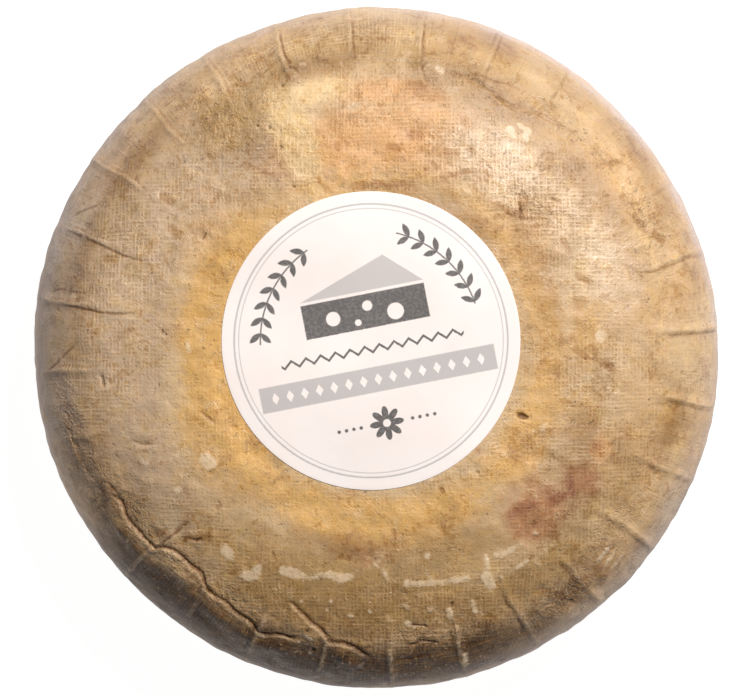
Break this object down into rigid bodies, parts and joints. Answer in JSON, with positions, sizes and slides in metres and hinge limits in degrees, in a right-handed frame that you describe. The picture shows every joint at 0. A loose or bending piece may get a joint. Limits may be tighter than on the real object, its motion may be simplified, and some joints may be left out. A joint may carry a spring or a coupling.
{
  "type": "cheese wheel",
  "caption": "Whole round semi-hard cheese in a cloth-marked natural rind, with a round paper label on top; it lies flat on its base.",
  "frame": {"origin": "middle of the flat underside, on the surface that the wheel lies on", "axes": "+Z up through the labelled top; +Y is up in the picture and +X is to its right"},
  "size_m": [0.234, 0.2326, 0.0772],
  "materials": {
    "rind": "dry, cloth-textured natural rind, golden buff to grey-brown",
    "paper": "matt warm white paper, printed in grey and pale taupe"
  },
  "bodies": {
    "root": {"wheel": "rind", "label": "paper"}
  },
  "joints": []
}
